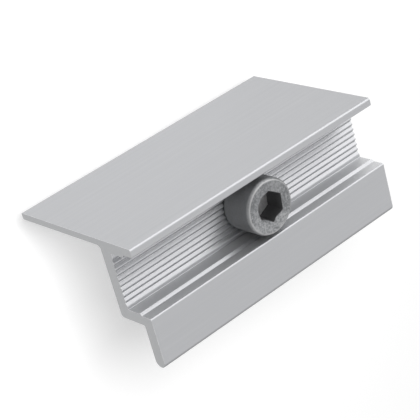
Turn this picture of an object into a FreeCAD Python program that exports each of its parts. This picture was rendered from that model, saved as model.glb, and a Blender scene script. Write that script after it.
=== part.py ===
import FreeCAD
import Part
import math
import os

os.makedirs("parts", exist_ok=True)

# Sizes in millimetres and degrees. The part stands as it is used: Z is up along the screw,
# X points over the module that is clamped, Y runs along the extrusion.
# The origin lies on the screw axis, at the height of the rail that the leg stands on.

# Extruded profile
clamp_length = 75.0
hole_offset = 0.9  # the drilled hole lies this far from mid length
clamp_height = 37.2  # underside of the tongue above the rail
tongue_thickness = 3.1
tongue_reach = 10.5  # from the riser's outer face to the tip
tip_round = 0.47  # corner radius at the tip, as a share of the tongue's thickness
riser_thickness = 2.43
channel_depth = 7.65  # top of the tongue down to the ribs that the screw head sits on
plate_thickness = 3.5
leg_thickness = 1.65
lip_thickness = 2.1
lip_rise = 0.15  # top of the lip above the top of the tongue

# Head channel: a nib on each wall, set back above it, and V ribs on the floor
head_clearance = 0.2  # screw head to nib
nib_height = 0.22  # out of the lower wall
riser_step = 0.32  # the riser's wall above the nib stands back from the one below it
lip_step = 0.67  # the same on the lip
nib_level = 3.95  # from the ribs up to the nib's crest
nib_slope = 0.68  # height of the nib's sloped top
nib_undercut = 0.3  # height of its underside
rib_pitch = 1.35
rib_depth = 0.55
rib_land = 0.835  # flat beside the riser, outside the ribs

# Corners of the profile
foot_radius = 0.15
leg_fillet = 1.0
heel_radius = 0.8
riser_fillet = 0.3
channel_fillet = 0.2
tongue_edge_radius = 0.5
lip_edge_radius = 0.6
lip_inner_radius = 0.5

# Socket head cap screw
screw_diameter = 8.0
screw_length = 40.0  # under the head
head_diameter = 13.5
head_height = 8.3
head_rim = 1.0
under_head_fillet = 0.3
tip_chamfer = 0.8
socket_across = 6.14
socket_depth = 4.8
socket_floor_cone = 0.4
socket_mouth = 7.6  # diameter of the countersink at its mouth
socket_mouth_angle = 120.0
socket_turn = -5.5
hole_clearance = 1.0  # on the screw's diameter

# Slot nut
nut_wall = 1.5  # beside the thread
nut_length = 21.0
nut_thickness = 5.5
nut_flush = 0.1  # screw tip below the nut
nut_swing_radius = 5.0  # the two corners that let it turn in the slot
nut_corner_radius = 0.4
nut_edge = 0.3
thread_clearance = 0.05  # on the radius
thread_chamfer = 0.5

# Worked out from the sizes above
tongue_top = clamp_height + tongue_thickness
plate_top = tongue_top - channel_depth
plate_bottom = plate_top - plate_thickness
lip_top = tongue_top + lip_rise
nib_half = head_diameter / 2 + head_clearance
lower_half = nib_half + nib_height
riser_inner = lower_half + riser_step
lip_inner = -lower_half - lip_step
leg_outer = lip_inner - lip_thickness
leg_inner = leg_outer + leg_thickness
riser_outer = riser_inner + riser_thickness
tongue_tip = riser_outer + tongue_reach
near_end = -clamp_length / 2 - hole_offset
screw_radius = screw_diameter / 2
screw_tip = plate_top - screw_length
nut_bottom = screw_tip + nut_flush
nut_width = screw_diameter + 2 * nut_wall


def corner_arc(before, corner, after, radius):
    """Start, middle and end of the arc that rounds one corner of an outline."""
    to_before = (before - corner).normalize()
    to_after = (after - corner).normalize()
    half_angle = to_before.getAngle(to_after) / 2
    reach = radius / math.tan(half_angle)
    start = corner + to_before * reach
    end = corner + to_after * reach
    centre = corner + (to_before + to_after).normalize() * (radius / math.sin(half_angle))
    middle = centre + (corner - centre).normalize() * radius
    return start, middle, end


def rounded_face(corners):
    """Face bounded by an outline of (point, radius) corners; radius 0 keeps a corner sharp."""
    edges = []
    count = len(corners)
    stretches = []
    for i, (corner, radius) in enumerate(corners):
        if radius == 0:
            stretches.append((corner, None, corner))
            continue
        before = corners[i - 1][0]
        after = corners[(i + 1) % count][0]
        stretches.append(corner_arc(before, corner, after, radius))
    for i, (start, middle, end) in enumerate(stretches):
        if middle is not None:
            edges.append(Part.Arc(start, middle, end).toShape())
        following = stretches[(i + 1) % count][0]
        edges.append(Part.LineSegment(end, following).toShape())
    return Part.Face(Part.Wire(edges))


def section_point(x, z):
    return FreeCAD.Vector(x, near_end, z)


def rib_corners():
    """Crests and valleys of the channel floor, from the riser towards the lip."""
    corners = []
    first_crest = lower_half - rib_land
    rib_count = int((first_crest + lower_half - channel_fillet) / rib_pitch)
    for i in range(rib_count):
        crest = first_crest - i * rib_pitch
        corners.append((section_point(crest, plate_top), 0))
        corners.append((section_point(crest - rib_pitch / 2, plate_top - rib_depth), 0))
    corners.append((section_point(first_crest - rib_count * rib_pitch, plate_top), 0))
    return corners


def wall_corners(side, upper_wall, top, edge_radius):
    """One wall of the channel, from its top edge down to the floor; side is 1 or -1."""
    crest = plate_top + nib_level
    return [
        (section_point(upper_wall, top), edge_radius),
        (section_point(upper_wall, crest + nib_slope), 0),
        (section_point(side * nib_half, crest), 0),
        (section_point(side * lower_half, crest - nib_undercut), 0),
        (section_point(side * lower_half, plate_top), channel_fillet),
    ]


def profile_section():
    tip_radius = tip_round * tongue_thickness
    corners = [
        (section_point(leg_outer, 0), foot_radius),
        (section_point(leg_inner, 0), foot_radius),
        (section_point(leg_inner, plate_bottom), leg_fillet),
        (section_point(riser_outer, plate_bottom), heel_radius),
        (section_point(riser_outer, clamp_height), riser_fillet),
        (section_point(tongue_tip, clamp_height), tip_radius),
        (section_point(tongue_tip, tongue_top), tip_radius),
    ]
    corners += wall_corners(1, riser_inner, tongue_top, tongue_edge_radius)
    corners += rib_corners()
    corners += reversed(wall_corners(-1, lip_inner, lip_top, lip_inner_radius))
    corners.append((section_point(leg_outer, lip_top), lip_edge_radius))
    return rounded_face(corners)


def clamp_profile():
    """The extrusion, cut to length, with the clearance hole drilled through its bolt plate."""
    bar = profile_section().extrude(FreeCAD.Vector(0, clamp_length, 0))
    hole_radius = (screw_diameter + hole_clearance) / 2
    below = FreeCAD.Vector(0, 0, plate_bottom - plate_thickness)
    drill = Part.makeCylinder(hole_radius, 3 * plate_thickness, below)
    return bar.cut(drill)


def hexagonal_bar(across_flats, bottom, height, turn):
    corner_radius = across_flats / 2 / math.cos(math.radians(30))
    corners = []
    for i in range(7):
        angle = math.radians(turn + 60 * i)
        corners.append(FreeCAD.Vector(corner_radius * math.cos(angle), corner_radius * math.sin(angle), bottom))
    return Part.Face(Part.makePolygon(corners)).extrude(FreeCAD.Vector(0, 0, height))


def turned_solid(outline):
    """Solid turned about Z from an outline of (radius, height) points and arcs of three."""
    edges = []
    for piece in outline:
        points = [FreeCAD.Vector(radius, 0, height) for radius, height in piece]
        if len(points) == 3:
            edges.append(Part.Arc(*points).toShape())
        else:
            edges.append(Part.LineSegment(*points).toShape())
    face = Part.Face(Part.Wire(edges))
    return face.revolve(FreeCAD.Vector(0, 0, 0), FreeCAD.Vector(0, 0, 1), 360)


def screw_socket(head_top):
    """Hexagonal socket with a countersunk mouth and a shallow conical floor."""
    floor = head_top - socket_depth
    socket = hexagonal_bar(socket_across, floor, socket_depth, socket_turn)
    floor_cone = Part.makeCone(0, socket_across / 2, socket_floor_cone,
                               FreeCAD.Vector(0, 0, floor - socket_floor_cone))
    mouth_depth = socket_mouth / 2 / math.tan(math.radians(socket_mouth_angle / 2))
    mouth = Part.makeCone(0, socket_mouth / 2, mouth_depth, FreeCAD.Vector(0, 0, head_top - mouth_depth))
    return socket.fuse([floor_cone, mouth])


def cap_screw():
    """Socket head cap screw, its head seated on the ribs. Its thread is a plain cylinder here."""
    head_radius = head_diameter / 2
    head_top = plate_top + head_height
    quarter = math.sqrt(0.5)
    rim_centre = (head_radius - head_rim, head_top - head_rim)
    neck_centre = (screw_radius + under_head_fillet, plate_top - under_head_fillet)
    outline = [
        [(0, screw_tip), (screw_radius - tip_chamfer, screw_tip)],
        [(screw_radius - tip_chamfer, screw_tip), (screw_radius, screw_tip + tip_chamfer)],
        [(screw_radius, screw_tip + tip_chamfer), (screw_radius, neck_centre[1])],
        [(screw_radius, neck_centre[1]),
         (neck_centre[0] - quarter * under_head_fillet, neck_centre[1] + quarter * under_head_fillet),
         (neck_centre[0], plate_top)],
        [(neck_centre[0], plate_top), (head_radius, plate_top)],
        [(head_radius, plate_top), (head_radius, rim_centre[1])],
        [(head_radius, rim_centre[1]),
         (rim_centre[0] + quarter * head_rim, rim_centre[1] + quarter * head_rim),
         (rim_centre[0], head_top)],
        [(rim_centre[0], head_top), (0, head_top)],
        [(0, head_top), (0, screw_tip)],
    ]
    return turned_solid(outline).cut(screw_socket(head_top))


def slot_nut():
    """Flat nut that drops through the rail's slot and turns a quarter turn to lie across it."""
    swing_radius = min(nut_swing_radius, 0.45 * nut_width)
    half_width = nut_width / 2
    half_length = nut_length / 2
    corners = [
        (FreeCAD.Vector(-half_width, -half_length, nut_bottom), nut_corner_radius),
        (FreeCAD.Vector(half_width, -half_length, nut_bottom), swing_radius),
        (FreeCAD.Vector(half_width, half_length, nut_bottom), nut_corner_radius),
        (FreeCAD.Vector(-half_width, half_length, nut_bottom), swing_radius),
    ]
    block = rounded_face(corners).extrude(FreeCAD.Vector(0, 0, nut_thickness))
    middle = nut_bottom + nut_thickness / 2
    rim_edges = [edge for edge in block.Edges
                 if abs(abs(edge.CenterOfMass.z - middle) - nut_thickness / 2) < nut_edge / 2]
    block = block.makeChamfer(nut_edge, rim_edges)
    bore_radius = screw_radius + thread_clearance
    mouth_radius = bore_radius + thread_chamfer
    nut_top = nut_bottom + nut_thickness
    bore = Part.makeCylinder(bore_radius, nut_thickness, FreeCAD.Vector(0, 0, nut_bottom))
    lower_mouth = Part.makeCone(mouth_radius, bore_radius, thread_chamfer, FreeCAD.Vector(0, 0, nut_bottom))
    upper_mouth = Part.makeCone(bore_radius, mouth_radius, thread_chamfer,
                                FreeCAD.Vector(0, 0, nut_top - thread_chamfer))
    return block.cut(bore.fuse([lower_mouth, upper_mouth]))


for name, make in [("clamp_profile", clamp_profile), ("cap_screw", cap_screw), ("slot_nut", slot_nut)]:
    shape = make()
    shape.exportStep("parts/" + name + ".step")
    box = shape.BoundBox
    print(name, "solids", len(shape.Solids), "valid", shape.isValid(), "volume", round(shape.Volume, 2),
          "x", round(box.XMin, 3), round(box.XMax, 3), "y", round(box.YMin, 3), round(box.YMax, 3),
          "z", round(box.ZMin, 3), round(box.ZMax, 3))
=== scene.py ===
import math

import bpy
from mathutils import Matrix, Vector


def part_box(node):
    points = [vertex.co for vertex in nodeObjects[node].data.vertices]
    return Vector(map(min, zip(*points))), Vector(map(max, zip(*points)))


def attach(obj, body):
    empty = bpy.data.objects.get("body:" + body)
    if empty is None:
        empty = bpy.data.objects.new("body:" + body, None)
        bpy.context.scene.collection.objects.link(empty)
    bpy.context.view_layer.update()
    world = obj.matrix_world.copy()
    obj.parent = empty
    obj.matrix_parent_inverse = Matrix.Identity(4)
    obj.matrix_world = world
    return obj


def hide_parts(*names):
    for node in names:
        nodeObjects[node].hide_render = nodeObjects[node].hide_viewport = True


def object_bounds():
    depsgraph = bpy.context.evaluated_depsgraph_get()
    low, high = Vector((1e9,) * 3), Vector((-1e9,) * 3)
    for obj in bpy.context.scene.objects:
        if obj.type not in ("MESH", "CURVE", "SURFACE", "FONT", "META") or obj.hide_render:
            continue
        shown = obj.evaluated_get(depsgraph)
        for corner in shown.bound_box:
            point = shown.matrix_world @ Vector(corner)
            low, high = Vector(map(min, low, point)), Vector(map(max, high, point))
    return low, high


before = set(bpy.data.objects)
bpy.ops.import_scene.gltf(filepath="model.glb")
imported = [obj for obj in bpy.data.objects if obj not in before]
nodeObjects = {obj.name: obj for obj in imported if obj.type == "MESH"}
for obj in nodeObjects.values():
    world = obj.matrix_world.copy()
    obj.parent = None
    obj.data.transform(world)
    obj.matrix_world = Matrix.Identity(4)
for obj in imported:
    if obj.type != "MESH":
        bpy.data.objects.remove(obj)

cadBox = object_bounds()
mm = 0.001  # sizes below are in millimetres, Blender works in metres
plateTop = 32.65  # the ribs' crests, which the screw head sits on
mergeDistance = 0.002 * mm
cutTolerance = 0.0001 * mm
placeTolerance = 0.01 * mm  # for finding an edge by its place
spare = 1.0  # cutters reach this far past what they cut
selectModes = {"vertices": "VERT", "edges": "EDGE", "polygons": "FACE"}


def deselectEverything():
    if bpy.context.mode != "OBJECT":
        bpy.ops.object.mode_set(mode="OBJECT")
    bpy.ops.object.select_all(action="DESELECT")


def makeActive(piece):
    deselectEverything()
    piece.select_set(True)
    bpy.context.view_layer.objects.active = piece


def editMode(piece, kind="vertices"):
    # with the whole mesh selected
    makeActive(piece)
    bpy.ops.object.mode_set(mode="EDIT")
    bpy.ops.mesh.select_mode(type=selectModes[kind])
    bpy.ops.mesh.select_all(action="SELECT")


def objectMode():
    bpy.ops.object.mode_set(mode="OBJECT")


def editPicked(piece, kind, test):
    # edit mode with those vertices, edges or faces selected that pass the test
    editMode(piece, kind)
    objectMode()
    mesh = piece.data
    for items in (mesh.vertices, mesh.edges, mesh.polygons):
        items.foreach_set("select", [False] * len(items))
    for item in getattr(mesh, kind):
        item.select = bool(test(item))
    bpy.ops.object.mode_set(mode="EDIT")


def applyModifier(piece, kind, **values):
    makeActive(piece)
    modifier = piece.modifiers.new(kind.title(), kind)
    for key, value in values.items():
        setattr(modifier, key, value)
    bpy.ops.object.modifier_apply(modifier=modifier.name)


def mergeLoose(piece):
    editMode(piece)
    bpy.ops.mesh.remove_doubles(threshold=mergeDistance)
    objectMode()


def faceOutwards(piece):
    editMode(piece)
    bpy.ops.mesh.normals_make_consistent(inside=False)
    objectMode()


def smoothPiece(piece, degrees, weight):
    makeActive(piece)
    bpy.ops.object.shade_smooth_by_angle(angle=math.radians(degrees))
    applyModifier(piece, "WEIGHTED_NORMAL", keep_sharp=True, weight=weight)


def drawOutline(name, points):
    # a chain of edges in the XZ plane, extruded point by point from one corner of a circle
    deselectEverything()
    bpy.ops.mesh.primitive_circle_add(vertices=3, radius=mm)
    piece = bpy.context.object
    piece.name = name
    editPicked(piece, "vertices", lambda vertex: vertex.index > 0)
    bpy.ops.mesh.delete(type="VERT")
    objectMode()
    piece.data.vertices[0].co = Vector((points[0][0] * mm, 0, points[0][1] * mm))
    piece.data.vertices[0].select = True
    bpy.ops.object.mode_set(mode="EDIT")
    for before, after in zip(points, points[1:]):
        step = ((after[0] - before[0]) * mm, 0, (after[1] - before[1]) * mm)
        bpy.ops.mesh.extrude_region_move(TRANSFORM_OT_translate={"value": step})
    objectMode()
    return piece


def spinOutline(name, points, steps):
    piece = drawOutline(name, points)
    editMode(piece)
    bpy.ops.mesh.spin(steps=steps, angle=math.tau, center=(0, 0, 0), axis=(0, 0, 1))
    bpy.ops.mesh.select_all(action="SELECT")
    bpy.ops.mesh.remove_doubles(threshold=mergeDistance)
    bpy.ops.mesh.normals_make_consistent(inside=False)
    objectMode()
    return piece


def arcPoints(centre, radius, fromDegrees, toDegrees, steps):
    points = []
    for i in range(steps + 1):
        angle = math.radians(fromDegrees + (toDegrees - fromDegrees) * i / steps)
        points.append((centre[0] + radius * math.cos(angle), centre[1] + radius * math.sin(angle)))
    return points


def cutAcross(piece, height, keepAbove):
    # cuts the piece off at this height and closes it with a flat cap
    editMode(piece)
    bpy.ops.mesh.bisect(plane_co=(0, 0, height * mm), plane_no=(0, 0, 1), use_fill=True,
                        clear_inner=keepAbove, clear_outer=not keepAbove, threshold=cutTolerance)
    objectMode()


def combine(piece, other, operation):
    applyModifier(piece, "BOOLEAN", object=other, operation=operation, solver="EXACT")
    bpy.data.objects.remove(other)


def bevelEdges(piece, test, width, segments):
    # the test gets the places of an edge's two ends
    points = piece.data.vertices
    editPicked(piece, "edges", lambda edge: test(points[edge.vertices[0]].co, points[edge.vertices[1]].co))
    bpy.ops.mesh.bevel(offset=width * mm, segments=segments, affect="EDGES")
    objectMode()


def isUpright(a, b):
    # of an edge whose ends lie more than a millimetre apart in height
    return abs(a.z - b.z) > mm


def moveAside(piece, offset):
    for vertex in piece.data.vertices:
        vertex.co.x += offset[0] * mm
        vertex.co.y += offset[1] * mm


def feed(links, socket, value):
    # a number or a tuple is written into the socket, an output is linked to it
    if isinstance(value, (int, float, tuple)):
        socket.default_value = value
    else:
        links.new(value, socket)


def mathNode(nodes, links, operation, first, second=None, clamp=False):
    node = nodes.new("ShaderNodeMath")
    node.operation = operation
    node.use_clamp = clamp
    feed(links, node.inputs[0], first)
    if second is not None:
        feed(links, node.inputs[1], second)
    return node.outputs[0]


def vectorNode(nodes, links, operation, first, second=None):
    node = nodes.new("ShaderNodeVectorMath")
    node.operation = operation
    feed(links, node.inputs[0], first)
    if second is not None:
        feed(links, node.inputs[1], second)
    return node.outputs["Value" if operation in ("LENGTH", "DOT_PRODUCT") else "Vector"]


def rangeNode(nodes, links, value, fromLow, fromHigh, toLow=0.0, toHigh=1.0):
    node = nodes.new("ShaderNodeMapRange")
    links.new(value, node.inputs["Value"])
    node.inputs["From Min"].default_value = fromLow
    node.inputs["From Max"].default_value = fromHigh
    node.inputs["To Min"].default_value = toLow
    node.inputs["To Max"].default_value = toHigh
    return node.outputs["Result"]


def fadeOver(nodes, links, length, fade, strength=1.0, base=0.0):
    # 0 at the fade's first length and the strength at its second, both in millimetres above the base
    start, full = fade
    return rangeNode(nodes, links, length, (base + start) * mm, (base + full) * mm, 0.0, strength)


def noiseNode(nodes, links, vector, scale, detail, roughness, spread):
    node = nodes.new("ShaderNodeTexNoise")
    links.new(vector, node.inputs["Vector"])
    feed(links, node.inputs["Scale"], scale)
    feed(links, node.inputs["Detail"], detail)
    feed(links, node.inputs["Roughness"], roughness)
    return rangeNode(nodes, links, node.outputs["Fac"], *spread)


def shareOut(nodes, links, first, second, share):
    # this share of the first, the rest of the second
    return mathNode(nodes, links, "ADD",
                    mathNode(nodes, links, "MULTIPLY", first, share),
                    mathNode(nodes, links, "MULTIPLY", second, 1 - share))


def splitAxes(nodes, links, vector):
    split = nodes.new("ShaderNodeSeparateXYZ")
    links.new(vector, split.inputs[0])
    return split.outputs


def blendColours(nodes, links, factor, first, second):
    mix = nodes.new("ShaderNodeMix")
    mix.data_type = "RGBA"
    links.new(factor, mix.inputs["Factor"])
    for label, value in (("A", first), ("B", second)):
        socket = [s for s in mix.inputs if s.name == label and s.type == "RGBA"][0]
        feed(links, socket, (*value, 1) if isinstance(value, tuple) else value)
    return [s for s in mix.outputs if s.type == "RGBA"][0]


cameraSettings = {
    "location": (-154.473, -189.236, 287.732),
    "rotation": (-14.4878, -40.4808, 71.4373),
    "lens": 132.666,
    "sensorWidth": 36,
    "clip": (10, 20000),
}


def makeCamera():
    data = bpy.data.cameras.new("viewCamera")
    data.lens = cameraSettings["lens"]
    data.sensor_width = cameraSettings["sensorWidth"]
    data.clip_start, data.clip_end = [distance * mm for distance in cameraSettings["clip"]]
    camera = bpy.data.objects.new("viewCamera", data)
    camera.location = Vector(cameraSettings["location"]) * mm
    camera.rotation_euler = [math.radians(a) for a in cameraSettings["rotation"]]
    bpy.context.scene.collection.objects.link(camera)
    bpy.context.scene.camera = camera
    print("camera ready")


# a direction points from the part to the panel
studioSettings = {
    "keyPanel": {"direction": (-0.58, -0.37, 1.0), "distance": 700, "size": 300, "power": 4.5},
    "edgeCard": {"direction": (-0.61, 0.51, 0.59), "distance": 600, "size": 660, "power": 1.06},
    "lowCard": {"direction": (-0.90, 0.42, 0.10), "distance": 600, "size": 340, "power": 0.30},
    "surroundLight": 0.30,
    "surroundSeen": 1.0,  # white
    "floorAlbedo": 0.64,
    "floorGlow": 0.46,  # seen by the camera and in metal, but lights nothing
    "floorSize": 6000,
}


def addPanel(name, toDiffuse=True, toGlossy=True):
    settings = studioSettings[name]
    data = bpy.data.lights.new(name, "AREA")
    data.shape = "DISK"
    data.size = settings["size"] * mm
    data.energy = settings["power"]
    panel = bpy.data.objects.new(name, data)
    aim = Vector(settings["direction"]).normalized()
    centre = (cadBox[0] + cadBox[1]) / 2
    panel.location = centre + aim * (settings["distance"] * mm)
    panel.rotation_euler = aim.to_track_quat("Z", "Y").to_euler()
    panel.visible_camera = False
    panel.visible_diffuse = toDiffuse
    panel.visible_glossy = toGlossy
    bpy.context.scene.collection.objects.link(panel)


def seenDirectly(nodes, links):
    # 1 for camera, glossy and transmission rays
    path = nodes.new("ShaderNodeLightPath").outputs
    cameraOrGlossy = mathNode(nodes, links, "MAXIMUM", path["Is Camera Ray"], path["Is Glossy Ray"])
    return mathNode(nodes, links, "MAXIMUM", cameraOrGlossy, path["Is Transmission Ray"])


def makeSurround():
    world = bpy.data.worlds.new("whiteSurround")
    world.use_nodes = True
    nodes, links = world.node_tree.nodes, world.node_tree.links
    nodes.clear()
    mix = nodes.new("ShaderNodeMixShader")
    links.new(seenDirectly(nodes, links), mix.inputs["Fac"])
    for slot, key in ((1, "surroundLight"), (2, "surroundSeen")):
        background = nodes.new("ShaderNodeBackground")
        background.inputs["Color"].default_value = (1, 1, 1, 1)
        background.inputs["Strength"].default_value = studioSettings[key]
        links.new(background.outputs[0], mix.inputs[slot])
    output = nodes.new("ShaderNodeOutputWorld")
    links.new(mix.outputs[0], output.inputs["Surface"])
    bpy.context.scene.world = world


def makeFloor():
    deselectEverything()
    bpy.ops.mesh.primitive_plane_add(size=studioSettings["floorSize"] * mm, location=(0, 0, cadBox[0].z))
    floor = bpy.context.object
    floor.name = "paleFloor"
    material = bpy.data.materials.new("paleFloor")
    material.use_nodes = True
    nodes, links = material.node_tree.nodes, material.node_tree.links
    nodes.clear()
    matte = nodes.new("ShaderNodeBsdfDiffuse")
    tone = studioSettings["floorAlbedo"]
    matte.inputs["Color"].default_value = (tone, tone, tone, 1)
    glow = nodes.new("ShaderNodeEmission")
    glow.inputs["Color"].default_value = (1, 1, 1, 1)
    strength = mathNode(nodes, links, "MULTIPLY", seenDirectly(nodes, links), studioSettings["floorGlow"])
    links.new(strength, glow.inputs["Strength"])
    both = nodes.new("ShaderNodeAddShader")
    links.new(matte.outputs[0], both.inputs[0])
    links.new(glow.outputs[0], both.inputs[1])
    output = nodes.new("ShaderNodeOutputMaterial")
    links.new(both.outputs[0], output.inputs["Surface"])
    floor.data.materials.append(material)


def makeStudio():
    makeSurround()
    makeFloor()
    addPanel("keyPanel", toGlossy=False)
    addPanel("edgeCard", toDiffuse=False)
    addPanel("lowCard", toDiffuse=False)
    bpy.context.scene.view_settings.view_transform = "Standard"
    print("studio ready")


effectSettings = {
    "noiseSpread": (0.3, 0.7),  # where most values of a noise lie
    "lineDetail": 4.0,
    "lineRoughness": 0.6,
    "broadScale": 0.13,  # of the broad lines, against the fine ones
    "wearAndSheenSamples": 6,
    "wearAndSheenBend": (0.99, 0.8),  # cosines between a face and the edge's rounding, none and full
    "wearAndSheenNoise": (900, 3, 0.5),  # scale, detail and roughness
    "wearAndSheenSpread": (0.3, 0.65),
    "grainDetail": 5,
    "cloudDetail": 2,
    "grainRoughness": 0.65,
    "cloudScale": 0.12,  # of the clouds, against the grain
}


def newGroup(name, inputs, outputs):
    group = bpy.data.node_groups.new(name, "ShaderNodeTree")
    for label, kind, value in inputs:
        socket = group.interface.new_socket(name=label, in_out="INPUT", socket_type=kind)
        if value is not None:
            socket.default_value = value
    for label in outputs:
        group.interface.new_socket(name=label, in_out="OUTPUT", socket_type="NodeSocketFloat")
    start = group.nodes.new("NodeGroupInput").outputs
    end = group.nodes.new("NodeGroupOutput").inputs
    return group, start, end


def makeDrawnLines():
    # long fine lines, as a die leaves along an extrusion: two noises stretched by the vector given
    settings = effectSettings
    group, start, end = newGroup(
        "drawnLines",
        [("Vector", "NodeSocketVector", None), ("Detail", "NodeSocketFloat", settings["lineDetail"])],
        ["Fine", "Broad"])
    nodes, links = group.nodes, group.links
    for label, scale in (("Fine", 1.0), ("Broad", settings["broadScale"])):
        lines = noiseNode(nodes, links, start["Vector"], scale, start["Detail"],
                          settings["lineRoughness"], settings["noiseSpread"])
        links.new(lines, end[label])
    return group


def makeEdgeWearAndSheen():
    # mask of the edges, broken up by a noise so that it isn't even; the lighter tone laid on it is partly
    # wear and partly a painted highlight
    settings = effectSettings
    group, start, end = newGroup(
        "edgeWearAndSheen",
        [("Vector", "NodeSocketVector", None), ("Radius", "NodeSocketFloat", 0.2 * mm),
         ("Amount", "NodeSocketFloat", 1.0)],
        ["Mask"])
    nodes, links = group.nodes, group.links
    rounded = nodes.new("ShaderNodeBevel")
    rounded.samples = settings["wearAndSheenSamples"]
    links.new(start["Radius"], rounded.inputs["Radius"])
    geometry = nodes.new("ShaderNodeNewGeometry")
    facing = vectorNode(nodes, links, "DOT_PRODUCT", rounded.outputs["Normal"], geometry.outputs["Normal"])
    bend = rangeNode(nodes, links, facing, *settings["wearAndSheenBend"])
    patches = noiseNode(nodes, links, start["Vector"], *settings["wearAndSheenNoise"], settings["wearAndSheenSpread"])
    broken = mathNode(nodes, links, "MULTIPLY", bend, patches)
    links.new(mathNode(nodes, links, "MULTIPLY", broken, start["Amount"], clamp=True), end["Mask"])
    return group


def makeFineGrain():
    # irregular fine grain with broader clouds, as on formed, cut or anodised metal
    settings = effectSettings
    group, start, end = newGroup(
        "fineGrain",
        [("Vector", "NodeSocketVector", None), ("Scale", "NodeSocketFloat", 3000.0)],
        ["Grain", "Cloud"])
    nodes, links = group.nodes, group.links
    for label, share, detail in (("Grain", 1.0, settings["grainDetail"]),
                                 ("Cloud", settings["cloudScale"], settings["cloudDetail"])):
        scale = mathNode(nodes, links, "MULTIPLY", start["Scale"], share)
        spots = noiseNode(nodes, links, start["Vector"], scale, detail,
                          settings["grainRoughness"], settings["noiseSpread"])
        links.new(spots, end[label])
    return group


drawnLines = makeDrawnLines()
edgeWearAndSheen = makeEdgeWearAndSheen()
fineGrain = makeFineGrain()


def newMetal(name):
    material = bpy.data.materials.new(name)
    material.use_nodes = True
    nodes, links = material.node_tree.nodes, material.node_tree.links
    shader = nodes["Principled BSDF"].inputs
    shader["Metallic"].default_value = 1.0
    place = nodes.new("ShaderNodeTexCoord").outputs["Object"]
    return material, nodes, links, shader, place


def placeGroup(nodes, links, group, vector, **values):
    node = nodes.new("ShaderNodeGroup")
    node.node_tree = group
    links.new(vector, node.inputs["Vector"])
    for label, value in values.items():
        node.inputs[label].default_value = value
    return node.outputs


def stretched(nodes, links, vector, scale):
    mapping = nodes.new("ShaderNodeMapping")
    mapping.inputs["Scale"].default_value = scale
    links.new(vector, mapping.inputs["Vector"])
    return mapping.outputs["Vector"]


def upwardness(nodes, links):
    # 1 on level faces, 0 on upright ones; no joint of this part tilts a piece
    geometry = nodes.new("ShaderNodeNewGeometry")
    return mathNode(nodes, links, "ABSOLUTE", splitAxes(nodes, links, geometry.outputs["Normal"])["Z"])


def distanceFromAxis(nodes, links, place):
    squares = [mathNode(nodes, links, "MULTIPLY", place[axis], place[axis]) for axis in ("X", "Y")]
    return mathNode(nodes, links, "SQRT", mathNode(nodes, links, "ADD", *squares))


def addBump(nodes, links, shader, height, strength, distance):
    bump = nodes.new("ShaderNodeBump")
    bump.inputs["Strength"].default_value = strength
    bump.inputs["Distance"].default_value = distance * mm
    links.new(height, bump.inputs["Height"])
    links.new(bump.outputs["Normal"], shader["Normal"])


# a fade gives the place where a finish starts and the place where it is full
clampSettings = {
    "flatAngle": 0.6,  # facets that turn less than this become one face
    "ribFoot": 31.9,  # just under the grooves between the ribs
    "ribSlope": (0.3, 0.95),  # the normals of their flanks point up by more and by less than this
    "crossCut": 5.6,  # from the hole's axis to a cut outside its rim
    "holeRadius": 4.5,
    "holeMargin": 0.05,
    "holeSlope": 0.3,  # the normals of the hole's wall point up by less than this
    "sharpAngle": 25,  # edges that turn more than this are bevelled
    "endBevel": 0.07,
    "crestBevel": 0.22,
    "valleyBevel": 0.03,
    "endDepth": 0.02,  # faces this close to an end are sawn
    "endSlope": 0.9,  # if their normals point along the bar by more than this
    "smoothAngle": 40,
    "tone": (0.480, 0.485, 0.499),
    "lineTone": (0.450, 0.455, 0.469),
    "fineShare": 0.55,  # of the fine lines, the rest is the broad ones
    "acrossLines": 7000,  # lines per metre, about
    "alongLines": 45,
    "roughness": (0.34, 0.42),
    "wallPaintedLight": (0.655, 0.66, 0.67),  # painted light: the channel's upright walls are given a lighter tone than the rest of the bar
    "wallRoughness": 0.18,  # added to it on the walls
    "wallSideFade": (7.95, 7.90),  # from the screw's axis, just behind the lip's wall
    "wallFootFade": (0.05, 0.35),  # above the plate
    "wallSlopeFade": (0.4, 0.1),  # a slope's fade is given in upwardness
    "tipPaintedShade": (0.255, 0.260, 0.267),  # painted shade: the upper bend of the tongue's tip is painted darker than its faces
    "tipReachFade": (19.0, 19.1),
    "tipHeightFade": (38.8, 39.0),
    "tipTopSlopeFade": (0.995, 0.91),
    "tipFrontSlopeFade": (0.30, 0.45),
    # lighter edges: partly wear, partly a painted highlight along the crests and edges
    "wearAndSheenTone": (0.78, 0.78, 0.78),
    "wearAndSheenRadius": 0.30,
    "wearAndSheenAmount": 1.3,
    "grainScale": 5200.0,
    "grainHeight": 0.25,  # of the grain, against the lines
    "bumpStrength": 0.5,
    "bumpHeight": 0.004,
    "sawnTone": (0.370, 0.375, 0.382),
    "sawnLight": (0.418, 0.423, 0.430),
    "sawnRoughness": (0.42, 0.56),
    "sawCentre": (55, 0, 150),
    "sawPitch": 0.28,
    "sawDetail": 3,
    "sawShare": 0.6,  # of the saw's arcs, the rest is grain
    "sawnGrainScale": 3800.0,
    "sawBumpStrength": 0.6,
    "sawBump": 0.006,
}


# where the painted light on the channel's walls goes, together with their extra roughness
def wallMask(nodes, links, place, level):
    settings = clampSettings
    width = mathNode(nodes, links, "ABSOLUTE", place["X"])
    inside = mathNode(nodes, links, "MULTIPLY",
                      fadeOver(nodes, links, width, settings["wallSideFade"]),
                      fadeOver(nodes, links, place["Z"], settings["wallFootFade"], base=plateTop))
    return mathNode(nodes, links, "MULTIPLY", inside,
                    rangeNode(nodes, links, level, *settings["wallSlopeFade"]))


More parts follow.
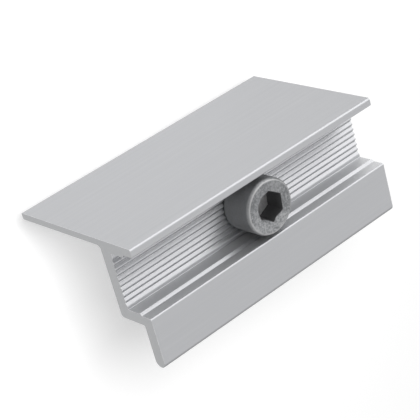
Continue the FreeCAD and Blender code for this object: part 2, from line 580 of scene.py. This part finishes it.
# where the painted shade on the upper bend of the tongue's tip goes
def paintedTipShadeMask(nodes, links, place, level):
    settings = clampSettings
    atTip = mathNode(nodes, links, "MULTIPLY",
                     fadeOver(nodes, links, place["X"], settings["tipReachFade"]),
                     fadeOver(nodes, links, place["Z"], settings["tipHeightFade"]))
    leaning = mathNode(nodes, links, "MULTIPLY",
                       rangeNode(nodes, links, level, *settings["tipTopSlopeFade"]),
                       rangeNode(nodes, links, level, *settings["tipFrontSlopeFade"]))
    return mathNode(nodes, links, "MULTIPLY", atTip, leaning)


def makeAnodisedFinish():
    material, nodes, links, shader, place = newMetal("anodisedAluminium")
    settings = clampSettings
    across, along = settings["acrossLines"], settings["alongLines"]
    lines = placeGroup(nodes, links, drawnLines, stretched(nodes, links, place, (across, along, across)))
    grain = placeGroup(nodes, links, fineGrain, place, Scale=settings["grainScale"])
    wearAndSheen = placeGroup(nodes, links, edgeWearAndSheen, place,
                     Radius=settings["wearAndSheenRadius"] * mm, Amount=settings["wearAndSheenAmount"])
    pattern = shareOut(nodes, links, lines["Fine"], lines["Broad"], settings["fineShare"])
    axes = splitAxes(nodes, links, place)
    level = upwardness(nodes, links)
    wall = wallMask(nodes, links, axes, level)
    base = blendColours(nodes, links, pattern, settings["tone"], settings["lineTone"])
    # painted light on the channel's upright walls
    base = blendColours(nodes, links, wall, base, settings["wallPaintedLight"])
    # painted shade on the upper bend of the tongue's tip
    base = blendColours(nodes, links, paintedTipShadeMask(nodes, links, axes, level), base, settings["tipPaintedShade"])
    # edges lighter: partly wear, partly painted highlight
    withWearAndSheen = blendColours(nodes, links, wearAndSheen["Mask"], base, settings["wearAndSheenTone"])
    links.new(withWearAndSheen, shader["Base Color"])
    rough = rangeNode(nodes, links, pattern, 0, 1, *settings["roughness"])
    extra = mathNode(nodes, links, "MULTIPLY", wall, settings["wallRoughness"])
    links.new(mathNode(nodes, links, "ADD", rough, extra), shader["Roughness"])
    grainRise = mathNode(nodes, links, "MULTIPLY", grain["Grain"], settings["grainHeight"])
    height = mathNode(nodes, links, "ADD", pattern, grainRise)
    addBump(nodes, links, shader, height, settings["bumpStrength"], settings["bumpHeight"])
    return material


def makeSawnFinish():
    # the bar is cut after anodising, so its ends are bare and carry the saw's arcs
    material, nodes, links, shader, place = newMetal("sawnAluminium")
    settings = clampSettings
    centre = tuple(value * mm for value in settings["sawCentre"])
    fromCentre = vectorNode(nodes, links, "SUBTRACT", place, centre)
    inEndPlane = vectorNode(nodes, links, "MULTIPLY", fromCentre, (1, 0, 1))
    distance = vectorNode(nodes, links, "LENGTH", inEndPlane)
    arcs = nodes.new("ShaderNodeTexNoise")
    arcs.noise_dimensions = "1D"
    arcs.inputs["Scale"].default_value = 1
    arcs.inputs["Detail"].default_value = settings["sawDetail"]
    links.new(mathNode(nodes, links, "MULTIPLY", distance, 1 / (settings["sawPitch"] * mm)), arcs.inputs["W"])
    marks = rangeNode(nodes, links, arcs.outputs["Fac"], *effectSettings["noiseSpread"])
    grain = placeGroup(nodes, links, fineGrain, place, Scale=settings["sawnGrainScale"])
    pattern = shareOut(nodes, links, marks, grain["Grain"], settings["sawShare"])
    base = blendColours(nodes, links, pattern, settings["sawnTone"], settings["sawnLight"])
    links.new(base, shader["Base Color"])
    links.new(rangeNode(nodes, links, pattern, 0, 1, *settings["sawnRoughness"]), shader["Roughness"])
    addBump(nodes, links, shader, pattern, settings["sawBumpStrength"], settings["sawBump"])
    return material


def nearEnd(place, low, high, distance):
    return min(abs(place.y - low.y), abs(place.y - high.y)) < distance


def inHole(place):
    reach = (clampSettings["holeRadius"] + clampSettings["holeMargin"]) * mm
    return math.hypot(place.x, place.y) < reach


def cutBesideHole(piece):
    # cross cuts under the head keep the long ribs apart from the hole's rim
    settings = clampSettings
    steep, level = settings["ribSlope"]

    def onRib(face):
        return steep < face.normal.z < level and face.center.z > settings["ribFoot"] * mm

    for side in (-1, 1):
        editPicked(piece, "polygons", onRib)
        bpy.ops.mesh.bisect(plane_co=(0, side * settings["crossCut"] * mm, 0), plane_no=(0, 1, 0),
                            threshold=cutTolerance)
        objectMode()


def weighEdges(mesh, low, high):
    # an edge's weight is its share of the widest bevel
    settings = clampSettings
    facesOf = {}
    for face in mesh.polygons:
        for key in face.edge_keys:
            facesOf.setdefault(key, []).append(face)
    weights = mesh.attributes.new("bevel_weight_edge", "FLOAT", "EDGE")
    for edge in mesh.edges:
        faces = facesOf[edge.key]
        if len(faces) != 2 or faces[0].normal.angle(faces[1].normal) < math.radians(settings["sharpAngle"]):
            continue
        middle = (mesh.vertices[edge.vertices[0]].co + mesh.vertices[edge.vertices[1]].co) / 2
        if inHole(middle):
            continue
        width = settings["valleyBevel"]
        across = faces[0].center - faces[1].center
        if faces[1].normal.dot(across) < 0 and abs(middle.z - plateTop * mm) < placeTolerance:
            width = settings["crestBevel"]
        if nearEnd(middle, low, high, placeTolerance):
            width = settings["endBevel"]
        weights.data[edge.index].value = width / settings["crestBevel"]


def makeClampProfile():
    settings = clampSettings
    source = nodeObjects["clamp_profile"]
    piece = bpy.data.objects.new("clampProfile", source.data.copy())
    bpy.context.scene.collection.objects.link(piece)
    mesh = piece.data
    mesh.materials.clear()
    mergeLoose(piece)
    editMode(piece, "polygons")
    bpy.ops.mesh.dissolve_limited(angle_limit=math.radians(settings["flatAngle"]))
    objectMode()
    cutBesideHole(piece)
    low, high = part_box("clamp_profile")
    weighEdges(mesh, low, high)
    applyModifier(piece, "BEVEL", width=settings["crestBevel"] * mm, segments=3,
                  limit_method="WEIGHT", use_clamp_overlap=False)
    mesh.materials.append(makeAnodisedFinish())
    mesh.materials.append(makeSawnFinish())
    for face in mesh.polygons:
        atEnd = nearEnd(face.center, low, high, settings["endDepth"] * mm)
        sawn = atEnd and abs(face.normal.y) > settings["endSlope"]
        drilled = inHole(face.center) and abs(face.normal.z) < settings["holeSlope"]
        face.material_index = 1 if sawn or drilled else 0
    smoothPiece(piece, settings["smoothAngle"], weight=100)
    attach(piece, "clamp")
    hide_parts("clamp_profile")
    print("clamp profile", len(mesh.polygons), "faces")


threadSettings = {
    "pitch": 1.25,
    "crestRadius": 4.0,
    "rootRadius": 3.24,
    "rootHalf": 0.075,  # half width of the groove's rounded bottom
    "rootStep": 0.05,  # depth of that bottom
    "rootFlat": 0.45,  # its level share
    "flankAngle": 30,
    "steps": 64,
    "slack": 0.045,  # left along the axis between the flanks of screw and nut
}


def threadedRod(name, low, high, rootRadius, outerRadius, grooveChange):
    # one pitch of the thread, swept by the Screw modifier; grooveChange widens or narrows the groove
    settings = threadSettings
    pitch = settings["pitch"]
    flank = math.tan(math.radians(settings["flankAngle"]))

    def halfGroove(radius):
        return settings["rootHalf"] + (radius - settings["rootRadius"]) * flank + grooveChange

    middle = pitch / 2
    stepRadius = rootRadius + settings["rootStep"]
    rootHalf = halfGroove(stepRadius)
    rootFlat = rootHalf * settings["rootFlat"]
    outline = [
        (outerRadius, 0),
        (outerRadius, middle - halfGroove(outerRadius)),
        (stepRadius, middle - rootHalf),
        (rootRadius, middle - rootFlat),
        (rootRadius, middle + rootFlat),
        (stepRadius, middle + rootHalf),
        (outerRadius, middle + halfGroove(outerRadius)),
        (outerRadius, pitch),
    ]
    firstTurn = math.floor((low - spare) / pitch) - 1
    turns = math.ceil((high + spare) / pitch) - firstTurn + 1
    rod = drawOutline(name, [(radius, height + firstTurn * pitch) for radius, height in outline])
    applyModifier(rod, "SCREW", axis="Z", angle=math.tau, screw_offset=pitch * mm, iterations=turns,
                  steps=settings["steps"], render_steps=settings["steps"],
                  use_merge_vertices=True, merge_threshold=mergeDistance, use_smooth_shade=False)
    mergeLoose(rod)
    return rod


screwSettings = {
    "headRadius": 6.75,
    "headHeight": 8.3,
    "headRim": 1.0,
    "footEdge": 0.06,
    "neckFillet": 0.3,
    "length": 40.0,
    "tipChamfer": 0.8,
    "tipRadius": 3.2,
    "threadTop": 20.65,
    "runOut": 1.9,
    "runOutDrop": 0.4,  # it starts this far under the thread's top
    "runOutEnd": 0.6,  # plain part of the cutting rod above it
    "rodMargin": 0.05,  # the cutting rod is this much wider than the screw
    "drumOverlap": 0.2,
    "socketAcross": 6.14,
    "socketDepth": 4.8,
    "socketCone": 0.4,
    "socketTurn": -5.5,
    "socketCentre": (-0.14, 0.09),  # the punch stood a little off the axis
    "socketCorner": 0.12,
    "drillMargin": 0.02,
    "drillHeight": 0.5,
    "sinkRadius": 3.66,  # a round mouth, deepest on one side
    "sinkAngle": 50,
    "sinkRise": 0.5,
    "sinkCentre": (-0.10, -0.16),
    "flareAcross": 6.74,  # the hexagon widens towards the face
    "flareDepth": 1.1,
    "steps": 128,
    "smoothAngle": 32,
    "grainShare": 0.65,  # of the grain, the rest is its clouds
    "grainScale": 1900.0,
    "grainSpread": (0.28, 0.72),
    "tone": (0.390, 0.395, 0.402),
    "grainTone": (0.176, 0.181, 0.188),
    "roughness": (0.40, 0.52),
    "faceDarkSideTone": (0.170, 0.174, 0.180),  # the face is darker towards -X
    "faceDarkSideFade": (3.0, -6.5),
    "faceDarkSideStrength": 0.5,
    "wearAndSheenTone": (0.46, 0.46, 0.46),
    "wearAndSheenRadius": 0.12,
    "wearAndSheenAmount": 0.6,
    "ringInnerFade": (6.05, 6.2),  # where the face turns into the rim: a lighter band, partly polish from handling, partly a painted highlight
    "ringOuterFade": (6.5, 6.35),
    "ringStrength": 0.8,
    "sideFilmAndShadeTone": (0.265, 0.269, 0.275),  # the sides keep the film of cold forming, and their darker tone is partly painted shade that dulls their reflections and the rim's highlight
    "sideRoughness": (0.56, 0.66),
    "sideSlopeFade": (0.93, 0.45),
    # painted shade: the socket's walls are darkened as the shade of the recess
    "socketPaintedShade": (0.110, 0.111, 0.114),
    "socketFade": (4.2, 4.1),
    "socketFootFade": (-1.0, -0.9),  # this and the next against the socket's floor
    # painted light: the socket's floor is lightened against the shade of its recess
    "drilledFade": (0.5, 0.4),
    "socketFloorPaintedLight": (0.82, 0.82, 0.82),
    "drilledStrength": 0.6,
    "bumpStrength": 0.5,
    "bumpHeight": 0.012,
}
headTop = plateTop + screwSettings["headHeight"]
screwTip = plateTop - screwSettings["length"]
socketFloor = headTop - screwSettings["socketDepth"]


def makeScrewFinish():
    material, nodes, links, shader, place = newMetal("screwSteel")
    settings = screwSettings
    grain = placeGroup(nodes, links, fineGrain, place, Scale=settings["grainScale"])
    wearAndSheen = placeGroup(nodes, links, edgeWearAndSheen, place,
                     Radius=settings["wearAndSheenRadius"] * mm, Amount=settings["wearAndSheenAmount"])
    pattern = shareOut(nodes, links, grain["Grain"], grain["Cloud"], settings["grainShare"])
    pattern = rangeNode(nodes, links, pattern, *settings["grainSpread"])
    axes = splitAxes(nodes, links, place)
    radius = distanceFromAxis(nodes, links, axes)
    face = blendColours(nodes, links, pattern, settings["tone"], settings["grainTone"])
    # the face turns darker towards -X
    faceDarkSide = fadeOver(nodes, links, axes["X"], settings["faceDarkSideFade"], settings["faceDarkSideStrength"])
    face = blendColours(nodes, links, faceDarkSide, face, settings["faceDarkSideTone"])
    # a lighter band at the rim and lighter edges: partly wear and polish, partly painted highlight
    ring = mathNode(nodes, links, "MULTIPLY",
                    fadeOver(nodes, links, radius, settings["ringInnerFade"]),
                    fadeOver(nodes, links, radius, settings["ringOuterFade"], settings["ringStrength"]))
    wearAndRingSheen = mathNode(nodes, links, "MAXIMUM", wearAndSheen["Mask"], ring)
    face = blendColours(nodes, links, wearAndRingSheen, face, settings["wearAndSheenTone"])
    socket = mathNode(nodes, links, "MULTIPLY",
                      fadeOver(nodes, links, radius, settings["socketFade"]),
                      fadeOver(nodes, links, axes["Z"], settings["socketFootFade"], base=socketFloor))
    # painted light on the socket's floor
    drilled = mathNode(nodes, links, "MULTIPLY", socket,
                       fadeOver(nodes, links, axes["Z"], settings["drilledFade"],
                                settings["drilledStrength"], socketFloor))
    face = blendColours(nodes, links, drilled, face, settings["socketFloorPaintedLight"])
    # painted shade on the socket's walls
    sides = blendColours(nodes, links, socket, settings["sideFilmAndShadeTone"], settings["socketPaintedShade"])
    side = rangeNode(nodes, links, upwardness(nodes, links), *settings["sideSlopeFade"])
    # upright faces take the darker side tone: partly forming film, partly painted shade
    links.new(blendColours(nodes, links, side, face, sides), shader["Base Color"])
    low, high = [rangeNode(nodes, links, side, 0, 1, *values)
                 for values in zip(settings["roughness"], settings["sideRoughness"])]
    spread = mathNode(nodes, links, "MULTIPLY", pattern, mathNode(nodes, links, "SUBTRACT", high, low))
    links.new(mathNode(nodes, links, "ADD", low, spread), shader["Roughness"])
    addBump(nodes, links, shader, pattern, settings["bumpStrength"], settings["bumpHeight"])
    return material


def makeScrewBlank():
    settings = screwSettings
    shank, head = threadSettings["crestRadius"], settings["headRadius"]
    fillet, rim, foot = settings["neckFillet"], settings["headRim"], settings["footEdge"]
    outline = [(0, screwTip), (settings["tipRadius"], screwTip), (shank, screwTip + settings["tipChamfer"])]
    outline += arcPoints((shank + fillet, plateTop - fillet), fillet, 180, 90, steps=4)
    outline += arcPoints((head - foot, plateTop + foot), foot, -90, 0, steps=3)
    outline += arcPoints((head - rim, headTop - rim), rim, 0, 90, steps=6)
    outline += [(settings["sinkRadius"] + spare, headTop), (0, headTop)]
    return spinOutline("capScrew", outline, settings["steps"])


def cutThread(screw):
    settings = screwSettings
    outerRadius = threadSettings["crestRadius"] + settings["rodMargin"]
    rod = threadedRod("threadRod", screwTip, settings["threadTop"] + 2 * spare,
                      threadSettings["rootRadius"], outerRadius, 0.0)
    start = settings["threadTop"] - settings["runOutDrop"]
    for vertex in rod.data.vertices:
        # the groove runs out over the last turns
        share = min(max((vertex.co.z / mm - start) / settings["runOut"], 0), 1)
        radius = math.hypot(vertex.co.x, vertex.co.y)
        scale = (radius + (outerRadius * mm - radius) * share) / radius
        vertex.co.x *= scale
        vertex.co.y *= scale
    end = start + settings["runOut"] + settings["runOutEnd"]
    cutAcross(rod, screwTip - spare, keepAbove=True)
    cutAcross(rod, end, keepAbove=False)
    faceOutwards(rod)
    # a wide drum above the thread keeps the rest of the blank whole
    reach = settings["headRadius"] + 2 * spare
    foot, top = end - settings["drumOverlap"], headTop + spare
    drum = spinOutline("keptBlank", [(0, foot), (reach, foot), (reach, top), (0, top)], steps=32)
    combine(rod, drum, "UNION")
    combine(screw, rod, "INTERSECT")


def makeSocketCutter():
    settings = screwSettings
    corner = settings["socketAcross"] / 2 / math.cos(math.radians(30))  # a hexagon's corner radius
    depth = settings["socketDepth"] + spare
    deselectEverything()
    bpy.ops.mesh.primitive_cylinder_add(vertices=6, radius=corner * mm, depth=depth * mm,
                                        location=(0, 0, (socketFloor + depth / 2) * mm))
    cutter = bpy.context.object
    cutter.name = "socketCutter"
    first = cutter.data.vertices[0].co
    turn = math.radians(settings["socketTurn"]) - math.atan2(first.y, first.x)
    cutter.rotation_euler = (0, 0, turn)
    bpy.ops.object.transform_apply(location=True, rotation=True, scale=True)
    flareFoot = headTop - settings["flareDepth"]
    editMode(cutter, "polygons")
    bpy.ops.mesh.bisect(plane_co=(0, 0, flareFoot * mm), plane_no=(0, 0, 1), threshold=cutTolerance)
    objectMode()
    # above that cut the sides lean outwards
    spread = (settings["flareAcross"] / settings["socketAcross"] - 1) / settings["flareDepth"]
    for vertex in cutter.data.vertices:
        above = max(vertex.co.z / mm - flareFoot, 0)
        vertex.co.x *= 1 + spread * above
        vertex.co.y *= 1 + spread * above
    moveAside(cutter, settings["socketCentre"])
    bevelEdges(cutter, isUpright, settings["socketCorner"], segments=3)
    return cutter


def cutSocket(screw):
    settings = screwSettings
    combine(screw, makeSocketCutter(), "DIFFERENCE")
    reach = settings["socketAcross"] / 2 - settings["drillMargin"]
    top = socketFloor + settings["drillHeight"]
    drill = spinOutline("socketDrill", [(0, socketFloor - settings["socketCone"]), (reach, socketFloor),
                                        (reach, top), (0, top)], steps=64)
    moveAside(drill, settings["socketCentre"])
    combine(screw, drill, "DIFFERENCE")
    slope = math.tan(math.radians(settings["sinkAngle"]))
    reach = settings["sinkRadius"] + settings["sinkRise"] * slope
    foot, top = headTop - settings["sinkRadius"] / slope, headTop + settings["sinkRise"]
    sink = spinOutline("socketSink", [(0, foot), (reach, top), (0, top)], steps=96)
    moveAside(sink, settings["sinkCentre"])
    combine(screw, sink, "DIFFERENCE")


def makeCapScrew():
    screw = makeScrewBlank()
    cutThread(screw)
    cutSocket(screw)
    mergeLoose(screw)
    screw.data.materials.clear()
    screw.data.materials.append(makeScrewFinish())
    smoothPiece(screw, screwSettings["smoothAngle"], weight=60)
    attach(screw, "screw")
    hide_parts("cap_screw")
    print("cap screw", len(screw.data.polygons), "faces")


nutSettings = {
    "width": 11.0,
    "length": 21.0,
    "bottom": -7.25,
    "thickness": 5.5,
    "swingRadius": 4.95,  # on the two corners that let it turn in the slot
    "cornerRadius": 0.4,
    "edge": 0.3,
    "boreRadius": 4.05,
    "crestRadius": 3.38,
    "mouthChamfer": 0.5,
    "smoothAngle": 32,
    "grainShare": 0.6,  # of the grain, the rest is its clouds
    "grainScale": 2200.0,
    "tone": (0.50, 0.505, 0.515),
    "grainTone": (0.40, 0.405, 0.415),
    "roughness": (0.32, 0.46),
    "wearAndSheenTone": (0.66, 0.66, 0.66),
    "wearAndSheenRadius": 0.15,
    "wearAndSheenAmount": 0.8,
    "bumpStrength": 0.4,
    "bumpHeight": 0.010,
}


def makeNutFinish():
    material, nodes, links, shader, place = newMetal("nutSteel")
    settings = nutSettings
    grain = placeGroup(nodes, links, fineGrain, place, Scale=settings["grainScale"])
    wearAndSheen = placeGroup(nodes, links, edgeWearAndSheen, place,
                     Radius=settings["wearAndSheenRadius"] * mm, Amount=settings["wearAndSheenAmount"])
    pattern = shareOut(nodes, links, grain["Grain"], grain["Cloud"], settings["grainShare"])
    base = blendColours(nodes, links, pattern, settings["tone"], settings["grainTone"])
    # edges lighter: partly wear, partly painted highlight
    links.new(blendColours(nodes, links, wearAndSheen["Mask"], base, settings["wearAndSheenTone"]), shader["Base Color"])
    links.new(rangeNode(nodes, links, pattern, 0, 1, *settings["roughness"]), shader["Roughness"])
    addBump(nodes, links, shader, pattern, settings["bumpStrength"], settings["bumpHeight"])
    return material


def makeSlotNut():
    settings = nutSettings
    low, high = settings["bottom"], settings["bottom"] + settings["thickness"]
    halfWidth, halfLength = settings["width"] / 2 * mm, settings["length"] / 2 * mm
    deselectEverything()
    bpy.ops.mesh.primitive_cube_add(size=1, location=(0, 0, (low + settings["thickness"] / 2) * mm))
    nut = bpy.context.object
    nut.name = "slotNut"
    nut.scale = (settings["width"] * mm, settings["length"] * mm, settings["thickness"] * mm)
    bpy.ops.object.transform_apply(location=True, rotation=True, scale=True)

    def isSwingCorner(a, b):
        return isUpright(a, b) and a.x * a.y < 0

    def isPlainCorner(a, b):
        atCorner = abs(abs(a.x) - halfWidth) < placeTolerance and abs(abs(a.y) - halfLength) < placeTolerance
        return isUpright(a, b) and a.x * a.y > 0 and atCorner

    def isLevel(a, b):
        return not isUpright(a, b)

    bevelEdges(nut, isSwingCorner, settings["swingRadius"], segments=16)
    bevelEdges(nut, isPlainCorner, settings["cornerRadius"], segments=3)
    bevelEdges(nut, isLevel, settings["edge"], segments=2)
    tap = threadedRod("nutTap", low, high, settings["crestRadius"], settings["boreRadius"],
                      -threadSettings["slack"])
    cutAcross(tap, low - spare, keepAbove=True)
    cutAcross(tap, high + spare, keepAbove=False)
    faceOutwards(tap)
    combine(nut, tap, "DIFFERENCE")
    wide = settings["boreRadius"] + settings["mouthChamfer"]
    for face, outward in ((low, -1), (high, 1)):
        outside = face + outward * spare
        cone = [(0, outside), (wide + spare, outside), (0, face - outward * wide)]
        sink = spinOutline("nutSink", cone, steps=96)
        combine(nut, sink, "DIFFERENCE")
    mergeLoose(nut)
    nut.data.materials.clear()
    nut.data.materials.append(makeNutFinish())
    smoothPiece(nut, settings["smoothAngle"], weight=60)
    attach(nut, "nut")
    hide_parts("slot_nut")
    print("slot nut", len(nut.data.polygons), "faces")


makeCamera()
makeStudio()
makeClampProfile()
makeCapScrew()
makeSlotNut()

print("cad box", [round(v / mm, 3) for corner in cadBox for v in corner])
